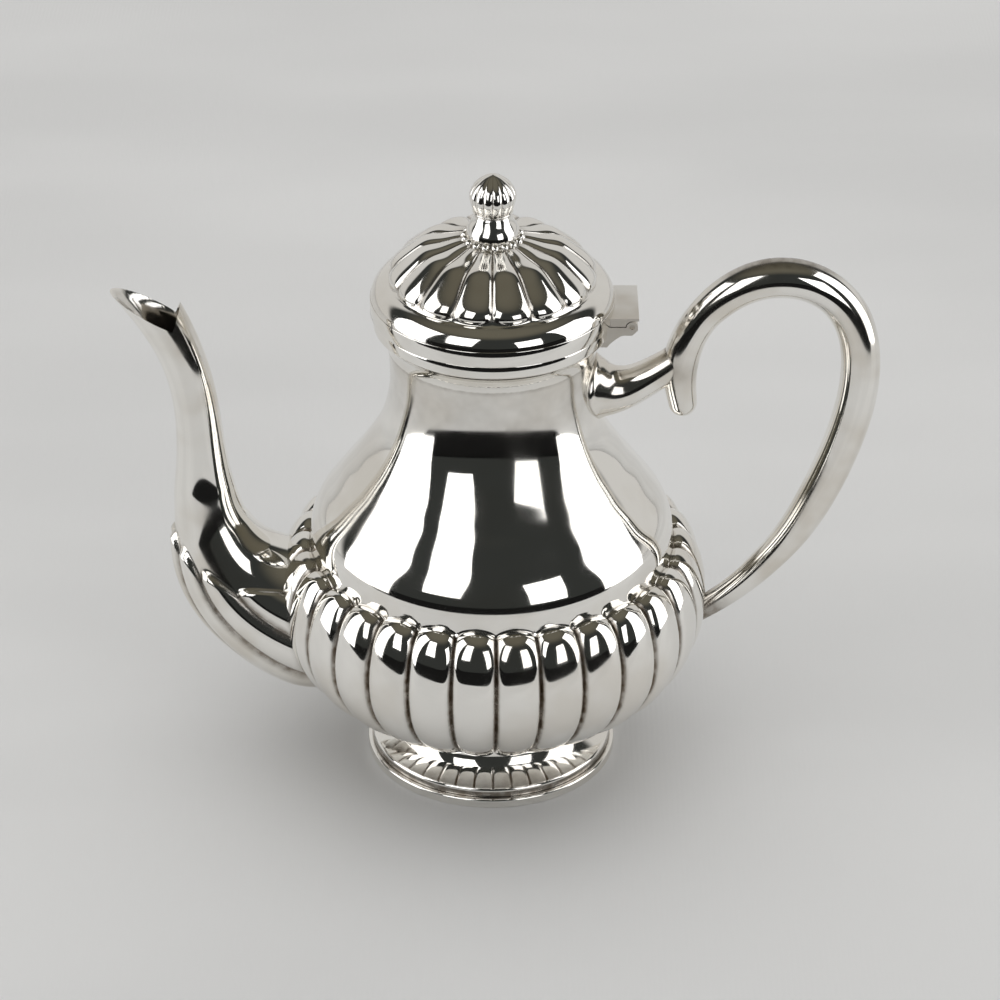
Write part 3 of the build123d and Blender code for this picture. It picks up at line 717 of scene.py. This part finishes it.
def capped_tube(name, tube, around, rows, end, cap, seams):
    """A closed tube, rounded off at the start of its path and shut at its last edge."""

    def form(turn, row):
        theta = 2 * math.pi * turn
        column = np.rint(turn * around).astype(int)
        body_row = np.clip(row - cap, 0, rows)
        spot = end[column] * (body_row / rows)
        x, y, z = tube.at(spot, theta)
        low, dark = row < cap, np.zeros(len(row))
        swing = np.pi / 2 * (1 - row / cap)
        centre = tube.path[0]
        radius = centre[2] * np.cos(swing)
        back = centre[2] * np.sin(swing)
        along = tube.along[0]
        x = np.where(low, centre[0] - along[1] * radius * np.cos(theta) - along[0] * back, x)
        z = np.where(low, centre[1] + along[0] * radius * np.cos(theta) - along[1] * back, z)
        y = np.where(low, -radius * np.sin(theta), y)
        last = row == rows + cap + 1
        mid = np.stack(tube.at(end, 2 * math.pi * even(around + 1)), axis=1)[:-1].mean(axis=0)
        x, y, z = (np.where(last, m, v) for m, v in zip(mid, (x, y, z)))
        for place, width, amount in seams:
            dark = np.maximum(dark, amount * np.exp(-(((spot - place) / width) ** 2)))
        # Painted shade: the handle's upper side is darkened, standing in for the darker reflection it shows
        # there.
        upward = tube.along[np.rint(spot * (tube.fine - 1)).astype(int), 0] * np.cos(theta)
        dark = np.maximum(dark, 0.62 * ramp(0.72, 0.93, upward) * ramp(0.12, 0.2, spot))
        return x, y, z, dark

    return raised(name, around, rows + cap + 1, form)


class POT_OT_handle(bpy.types.Operator):
    """Bend the handle and seat its upper end in the socket on the neck"""

    bl_idname = "pot.handle"
    bl_label = "Handle"

    def execute(self, context):
        tube, around = Tube(HANDLE_PATH), 64
        angle = 2 * math.pi * even(around + 1)
        end = tube.first(angle, lambda x, y, z: inside_body(x, y, z) & (z < 100))
        handle = capped_tube(
            "handle_tube", tube, around, 320, end, 12, [(0.975, 0.03, 0.9), (0.06, 0.02, 0.25)]
        )
        settle(handle, "pot", ["handle"], "drawn silver tube")

        socket = Tube(SOCKET_PATH)
        around = 96
        angle = 2 * math.pi * even(around + 1)
        start = socket.first(angle, outside_body)

        def in_handle(x, y, z):
            near = np.full(x.shape, np.inf)
            for centre_x, centre_z, radius in tube.path[:260:4]:
                near = np.minimum(near, np.sqrt((x - centre_x) ** 2 + y**2 + (z - centre_z) ** 2) - radius)
            return near < -0.3

        finish = socket.first(angle, in_handle)

        rows = 60

        def form(turn, row):
            theta = 2 * math.pi * turn
            column = np.rint(turn * around).astype(int)
            share = np.clip(row, 0, rows) / rows
            spot = start[column] + (finish[column] - start[column]) * share
            lip = 0.45 * np.exp(-(((share - 0.035) / 0.03) ** 2))
            x, y, z = socket.at(spot, theta, 0.0, lip)
            last = row > rows
            end = socket.path[-1]
            x, y, z = np.where(last, end[0], x), np.where(last, 0.0, y), np.where(last, end[1], z)
            dark = 0.7 * np.exp(-((share / 0.02) ** 2)) + 0.8 * ramp(0.955, 0.995, share)
            return x, y, z, dark

        piece = raised("handle_socket_raised", around, rows + 1, form)
        settle(piece, "pot", ["handle_socket"], "drawn silver tube")
        return {"FINISHED"}


# ---------------------------------------------------------------- lid
DOME_BALL = 47.0
LOBE_END = (35.7, 190.9)       # lowest point of a lid lobe's rounded end
LID_CUSP = (34.7, 193.3)       # where two lid lobes' ends meet
DOME_ROWS, STRIP_ROWS, ROLL_ROWS = 52, 4, 25


def dome(radius, rise=0.0):
    """A point on the lid's ball-shaped dome, or raised above it."""
    slope = math.asin(radius / DOME_BALL)
    ball = DOME_BALL + rise
    return ball * math.sin(slope), DOME_TOP - DOME_BALL + ball * math.cos(slope)


class POT_OT_lid(bpy.types.Operator):
    """Raise the lobed lid and spin its band"""

    bl_idname = "pot.lid"
    bl_label = "Lid"

    def execute(self, context):
        sizes = context.scene.pot_sizes
        rise = sizes.lobe_rise / MM
        crest_points = [
            (2.0, 206.8), (6.0, 206.8), (9.0, 206.7), (13.0, 206.1), (18.0, 204.9), dome(23.0, rise),
            dome(28.0, rise), dome(31.5, rise), (35.0, 194.9), (36.05, 192.7), LOBE_END,
        ]
        groove_points = [
            (2.0, 206.8), (6.0, 206.8), (9.0, 206.2), (13.0, 205.1), (18.0, 203.6), dome(23.0),
            dome(27.5), dome(31.0), dome(33.4), LID_CUSP,
        ]
        crest = smooth(crest_points, even(DOME_ROWS))
        groove = smooth(groove_points, even(DOME_ROWS))
        moat = (36.5, 190.35)
        strip_crest = cove(crest[-1], (35.75, 190.35), moat, STRIP_ROWS + 1)[1:]
        strip_groove = cove(groove[-1], (35.0, 190.9), moat, STRIP_ROWS + 1)[1:]
        roll = smooth(
            [moat, (38.0, 189.85), (39.7, 188.8), (41.0, 187.2), (41.75, 185.6), (42.05, BAND_TOP)],
            even(ROLL_ROWS + 1),
        )[1:]
        lip = [(41.9, BAND_TOP - 0.1), (40.8, BAND_TOP - 0.1)]
        lining = [
            (40.6, BAND_TOP), (39.6, 186.6), (37.2, 188.7), (35.0, 189.6), (33.9, 192.4), (29.0, 197.1),
            (20.0, 201.8), (8.0, 205.1), (1.5, 205.6),
        ]
        inside = smooth(lining, even(24))
        outer_crest = np.vstack([crest, strip_crest, roll, lip, inside, crest[:1]])
        outer_groove = np.vstack([groove, strip_groove, roll, lip, inside, groove[:1]])
        count = len(outer_crest)
        dark, line = np.zeros(count), np.zeros(count)
        dark[:DOME_ROWS] = 0.55
        line[5:15] = 0.5, 0.8, 0.9, 0.9, 0.8, 0.6, 0.42, 0.26, 0.14, 0.06
        line[DOME_ROWS - 1 : DOME_ROWS + 1] = 0.35, 0.2
        line[DOME_ROWS + STRIP_ROWS + ROLL_ROWS - 1] = 0.4
        cover = lobed("lid_lobed", outer_crest, outer_groove, sizes.lid_lobes, FRONT, 32, 0.62, dark, line)
        settle(cover, "lid", ["lid_cover"], "polished silver")

        bezel = -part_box("lid_bezel")[0][0] / MM
        band = np.vstack([
            [(bezel, BAND_LOW)],
            [(BAND_R - 0.5, BAND_LOW), (BAND_R - 0.12, BAND_LOW + 0.06), (BAND_R, BAND_LOW + 0.3)],
            [(BAND_R, BAND_TOP - 0.25), (BAND_R - 0.05, BAND_TOP - 0.08), (BAND_R - 0.2, BAND_TOP)],
            [(BAND_R - 1.4, BAND_TOP), (BAND_R - 1.5, BAND_TOP - 0.1), (BAND_R - 1.5, BAND_LOW + 1.5)],
            [(bezel, BAND_LOW + 1.5), (bezel, BAND_LOW)],
        ])
        dark = np.zeros(len(band))
        dark[6:8] = 0.5
        ring = turned("lid_band_ring", band, 320, dark)
        settle(ring, "lid", ["lid_band"], "spun silver")
        return {"FINISHED"}


# ---------------------------------------------------------------- finial
class POT_OT_finial(bpy.types.Operator):
    """Cast the bud, its collar and the ring of petals"""

    bl_idname = "pot.finial"
    bl_label = "Finial"

    def execute(self, context):
        sizes = context.scene.pot_sizes
        base = BUD_LOW + 1.9
        high = FINIAL_TOP - base
        tip = [(2.1, 12.7), (0.0, high)]
        crest_points = [(6.5, 0.0), (6.9, 0.7), (7.6, 2.4), (8.05, 4.8), (7.7, 7.2), (6.4, 9.5), (4.3, 11.4)]
        groove_points = [(6.4, 0.0), (6.5, 0.7), (6.9, 2.4), (7.3, 4.8), (7.1, 7.2), (6.1, 9.5), (4.2, 11.4)]
        crest, groove = smooth(crest_points + tip, even(40)), smooth(groove_points + tip, even(40))
        crest[:, 1] += base
        groove[:, 1] += base
        crest[-1, 0] = groove[-1, 0] = 0.0
        shut = [(0.0, base), (3.0, base)]
        crest, groove = np.vstack([shut, crest]), np.vstack([shut, groove])
        dark, line = np.full(len(crest), 0.3), np.zeros(len(crest))
        line[:6] = 0.5, 0.5, 0.6, 0.5, 0.3, 0.15
        bud = lobed("finial_bud_cast", crest, groove, sizes.bud_lobes, FRONT, 14, 0.75, dark, line)
        settle(bud, "lid", ["finial_bud"], "cast silver")

        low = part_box("finial_collar")[0][2] / MM - 3.0
        outline = np.vstack([
            [(1.5, low), (8.2, low)],
            cove((8.9, low), (9.6, low + 0.1), (9.5, low + 0.9), 6),
            cove((9.4, low + 1.2), (8.3, low + 1.5), (8.7, low + 2.1), 6),
            smooth(
                [(9.15, low + 2.4), (8.85, low + 3.9), (7.95, low + 5.7), (6.95, low + 7.4), (6.4, low + 9.0)],
                even(16),
            ),
            cove((6.2, low + 9.3), (5.9, low + 9.7), (6.5, low + 10.0), 5),
            cove((6.9, low + 10.2), (7.2, low + 10.5), (6.5, low + 10.75), 5),
            [(1.5, low + 10.75), (1.5, low)],
        ])
        dark = np.zeros(len(outline))
        dark[6:13] = 0.55
        dark[-12:-7] = 0.5
        collar = turned("finial_collar_cast", outline, 128, dark)
        settle(collar, "lid", ["finial_collar"], "cast silver")

        self.petals(sizes.petals, low)
        return {"FINISHED"}

    def petals(self, count, low):
        """Petals, each a squashed and pointed ball leaning down the dome, joined round a small disc."""
        reach, height, slope = 9.3, 206.7, 0.2
        length, width, thickness = 1.9 * MM, 1.45 * MM, 1.4 * MM
        made = []
        for number in range(count):
            azimuth = FRONT + math.radians(5) + 2 * math.pi * number / count
            deselect()
            bpy.ops.mesh.primitive_uv_sphere_add(segments=20, ring_count=14, radius=1.0)
            petal = bpy.context.active_object
            bpy.ops.object.mode_set(mode="EDIT")
            bpy.ops.transform.resize(value=(length, width, thickness))
            bpy.ops.object.mode_set(mode="OBJECT")
            corners = np.array([v.co for v in petal.data.vertices])
            narrow = 1 - 0.4 * ramp(0.3 * MM, -length, corners[:, 0])
            corners[:, 1] *= narrow
            x = corners[:, 0] * math.cos(slope) + corners[:, 2] * math.sin(slope)
            z = corners[:, 2] * math.cos(slope) - corners[:, 0] * math.sin(slope)
            out = reach * MM + x
            place = np.stack([
                out * math.cos(azimuth) - corners[:, 1] * math.sin(azimuth),
                out * math.sin(azimuth) + corners[:, 1] * math.cos(azimuth),
                height * MM + z,
            ], axis=1)
            petal.data.vertices.foreach_set("co", place.astype(np.float32).ravel())
            petal.data.update()
            bpy.ops.object.shade_smooth()
            made.append(petal)
        plate = turned(
            "petal_plate",
            [(1.5, 206.6), (8.8, 206.2), (9.1, 206.6), (8.6, low), (1.5, low), (1.5, 206.6)],
            96,
            [0.8] * 6,
        )
        deselect()
        for petal in made:
            petal.select_set(True)
        plate.select_set(True)
        bpy.context.view_layer.objects.active = plate
        bpy.ops.object.join()
        plate.name = plate.data.name = "finial_petals"
        settle(plate, "lid", ["finial_calyx"], "cast silver")


class POT_OT_fittings(bpy.types.Operator):
    """Give the hinge, bezel and hidden fixings their finishes"""

    bl_idname = "pot.fittings"
    bl_label = "Hinge and Fixings"

    def execute(self, context):
        finishes = {
            "hinge_lid_leaf": "hinge silver",
            "hinge_body_leaf": "hinge silver",
            "hinge_pin": "pin wire",
            "lid_bezel": "silver inside",
            "finial_stud": "dull brass",
            "finial_washer": "dull brass",
            "finial_nut": "dull brass",
        }
        for node, finish in finishes.items():
            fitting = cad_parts[node]
            for slot in fitting.material_slots:
                slot.material = bpy.data.materials[finish]
        return {"FINISHED"}


# ---------------------------------------------------------------- studio
def direction(azimuth, elevation):
    """Unit vector: azimuth from the camera's side towards +X, elevation above the floor, in degrees."""
    a, e = math.radians(azimuth), math.radians(elevation)
    return Vector((math.sin(a) * math.cos(e), -math.cos(a) * math.cos(e), math.sin(e)))


def softbox(name, azimuths, elevations, distance, brightness):
    """A flat rectangular light that fills a span of directions as seen from the pot."""
    middle = Vector((0, 0, 0.11))
    azimuth, elevation = sum(azimuths) / 2, sum(elevations) / 2
    toward = direction(azimuth, elevation)
    deselect()
    bpy.ops.object.light_add(type="AREA", location=middle + toward * distance)
    light = bpy.context.active_object
    light.name = name
    light.rotation_euler = toward.to_track_quat("Z", "Y").to_euler()
    half_turn = math.radians(abs(azimuths[1] - azimuths[0]) / 2)
    half_lift = math.radians(abs(elevations[1] - elevations[0]) / 2)
    light.data.shape = "RECTANGLE"
    light.data.size = 2 * distance * math.tan(half_turn) * math.cos(math.radians(elevation))
    light.data.size_y = 2 * distance * math.tan(half_lift)
    light.data.energy = brightness * math.pi * light.data.size * light.data.size_y
    light.visible_camera = light.visible_diffuse = False


def cloth(name, tone):
    """Pale cloth with a fine weave, and soft folds painted as streaks of darker colour (painted shade)."""
    material = bpy.data.materials.new(name)
    material.use_nodes = True
    tree = material.node_tree
    shader = tree.nodes["Principled BSDF"]
    shader.inputs["Roughness"].default_value = 0.9
    shader.inputs["Specular IOR Level"].default_value = 0.2
    place = tree.nodes.new("ShaderNodeTexCoord").outputs["Object"]
    # Painted shade: the folds are streaks of colour 8 percent darker, not shaped cloth.
    soft = spread(tree, noise(tree, place, 1.7, 3.0, (1.0, 2.4, 1.0)), 0.38, 0.62)
    link(
        tree,
        blend_colours(tree, soft, tuple(0.92 * t for t in tone) + (1,), tuple(tone) + (1,)),
        shader.inputs["Base Color"],
    )
    weave = tree.nodes.new("ShaderNodeTexWave")
    weave.inputs["Scale"].default_value = 160.0
    weave.inputs["Distortion"].default_value = 1.0
    link(tree, place, weave.inputs["Vector"])
    bump = tree.nodes.new("ShaderNodeBump")
    bump.inputs["Distance"].default_value = 0.0001
    bump.inputs["Strength"].default_value = 0.2
    link(tree, weave.outputs["Fac"], bump.inputs["Height"])
    link(tree, bump.outputs["Normal"], shader.inputs["Normal"])
    return material


def room_light(world):
    """Dark room in front, dim olive ceiling overhead, pale sweep behind."""
    world.use_nodes = True
    tree = world.node_tree
    place = tree.nodes.new("ShaderNodeTexCoord").outputs["Generated"]
    parts = tree.nodes.new("ShaderNodeSeparateXYZ")
    link(tree, place, parts.inputs["Vector"])
    ceiling = spread(tree, parts.outputs["Z"], 0.66, 0.97)
    tone = blend_colours(tree, ceiling, (0.032, 0.034, 0.032, 1), (0.128, 0.118, 0.09, 1))
    lean = sums(tree, "MULTIPLY_ADD", parts.outputs["Z"], -0.6, parts.outputs["Y"])
    behind = spread(tree, lean, 0.14, 0.28)
    tone = blend_colours(tree, behind, tone, (0.62, 0.61, 0.59, 1))
    link(tree, tone, tree.nodes["Background"].inputs["Color"])


class POT_OT_studio(bpy.types.Operator):
    """Set the pale floor, backdrop, softboxes, room tone and camera"""

    bl_idname = "pot.studio"
    bl_label = "Studio"

    def execute(self, context):
        scene, studio = context.scene, context.scene.pot_studio
        tone = tuple(studio.floor_tone)
        fabric = cloth("pale cloth", tone)
        reach, backdrop_height = 4.5, 4.0
        deselect()
        bpy.ops.mesh.primitive_circle_add(vertices=96, radius=reach, fill_type="NGON")
        floor = context.active_object
        floor.name = "floor"
        floor.data.materials.append(fabric)
        deselect()
        bpy.ops.mesh.primitive_cylinder_add(
            vertices=96, radius=reach, depth=backdrop_height, end_fill_type="NOTHING",
            location=(0, 0, backdrop_height / 2),
        )
        bpy.ops.object.transform_apply(location=True)
        wall = context.active_object
        wall.name = "backdrop"
        wall.data.materials.append(fabric)
        wall.visible_glossy = wall.visible_diffuse = wall.visible_shadow = False

        # Painted dark reflection: a black sheet over the floor in front of the pot, hidden from the camera,
        # diffuse light and shadows, so it only darkens the silver's reflections of the floor there.
        dark = bpy.data.materials.new("dark reflection card")
        dark.use_nodes = True
        board = dark.node_tree.nodes["Principled BSDF"]
        board.inputs["Base Color"].default_value = (0.012, 0.012, 0.012, 1)
        board.inputs["Roughness"].default_value = 1.0
        board.inputs["Specular IOR Level"].default_value = 0.0
        deselect()
        bpy.ops.mesh.primitive_circle_add(vertices=96, radius=0.7, fill_type="NOTHING")
        card = context.active_object
        card.name = "dark_reflection_card"
        bpy.ops.object.mode_set(mode="EDIT")
        bpy.ops.mesh.extrude_region_move()
        bpy.ops.transform.resize(value=(10, 10, 1))
        bpy.ops.mesh.select_all(action="SELECT")
        bpy.ops.transform.translate(value=(0, 0.28, 0.004))
        bpy.ops.mesh.bisect(plane_co=(0, -0.2, 0), plane_no=(0, 1, 0), clear_outer=True)
        bpy.ops.object.mode_set(mode="OBJECT")
        card.data.materials.append(dark)
        card.visible_camera = card.visible_diffuse = card.visible_shadow = False

        near, far, bright = 0.62, 1.5, studio.softbox
        softbox("softbox_left", (-98, -58), (-14, 52), near, bright)
        softbox("softbox_right", (66, 102), (-14, 52), near, bright)
        softbox("window_left", (-44, -16), (13, 50), far, bright)
        softbox("window_right", (22, 46), (2, 33.6), far, bright)
        deselect()
        bpy.ops.object.light_add(type="AREA", location=(0, 0, 3.0))
        fill = context.active_object
        fill.name = "overhead_fill"
        fill.data.shape = "RECTANGLE"
        fill.data.size, fill.data.size_y = 7.0, 7.0
        fill.data.energy = studio.fill * math.pi * fill.data.size * fill.data.size_y
        fill.visible_glossy = fill.visible_camera = False

        world = bpy.data.worlds.new("room")
        scene.world = world
        room_light(world)
        scene.view_settings.view_transform = "Standard"

        deselect()
        bpy.ops.object.camera_add(location=studio.camera_place)
        camera = context.active_object
        camera.name = "camera"
        tilt = Euler((studio.camera_tilt, 0, 0)).to_matrix().to_4x4()
        turn = tilt @ Matrix.Rotation(studio.camera_roll, 4, "Z")
        camera.rotation_euler = turn.to_euler()
        camera.data.sensor_width = 36.0
        camera.data.lens = studio.lens
        camera.data.clip_start = 0.05
        camera.data.clip_end = 20.0
        scene.camera = camera
        return {"FINISHED"}


# ---------------------------------------------------------------- add-on
STEPS = [
    POT_OT_finishes, POT_OT_body, POT_OT_mouth, POT_OT_foot, POT_OT_spout, POT_OT_handle, POT_OT_lid,
    POT_OT_finial, POT_OT_fittings, POT_OT_studio,
]
GROUPS = {"pot_sizes": PotSizes, "silver_finish": SilverFinish, "pot_studio": StudioSettings}


class POT_PT_panel(bpy.types.Panel):
    """Lists the pot's pieces in the order in which they are made."""

    bl_idname = "POT_PT_panel"
    bl_label = "Coffee Pot"
    bl_space_type = "VIEW_3D"
    bl_region_type = "UI"
    bl_category = "Coffee Pot"

    def draw(self, context):
        for name, settings in GROUPS.items():
            box = self.layout.box()
            for field in settings.__annotations__:
                box.prop(getattr(context.scene, name), field)
        for step in STEPS:
            self.layout.operator(step.bl_idname)


def register():
    for kind in (*GROUPS.values(), *STEPS, POT_PT_panel):
        bpy.utils.register_class(kind)
    for name, settings in GROUPS.items():
        setattr(bpy.types.Scene, name, bpy.props.PointerProperty(type=settings))


def unregister():
    for name in GROUPS:
        delattr(bpy.types.Scene, name)
    for kind in (POT_PT_panel, *reversed(STEPS), *reversed(list(GROUPS.values()))):
        bpy.utils.unregister_class(kind)


def main():
    register()
    for step in STEPS:
        family, name = step.bl_idname.split(".")
        getattr(getattr(bpy.ops, family), name)()


if __name__ == "__main__":
    main()
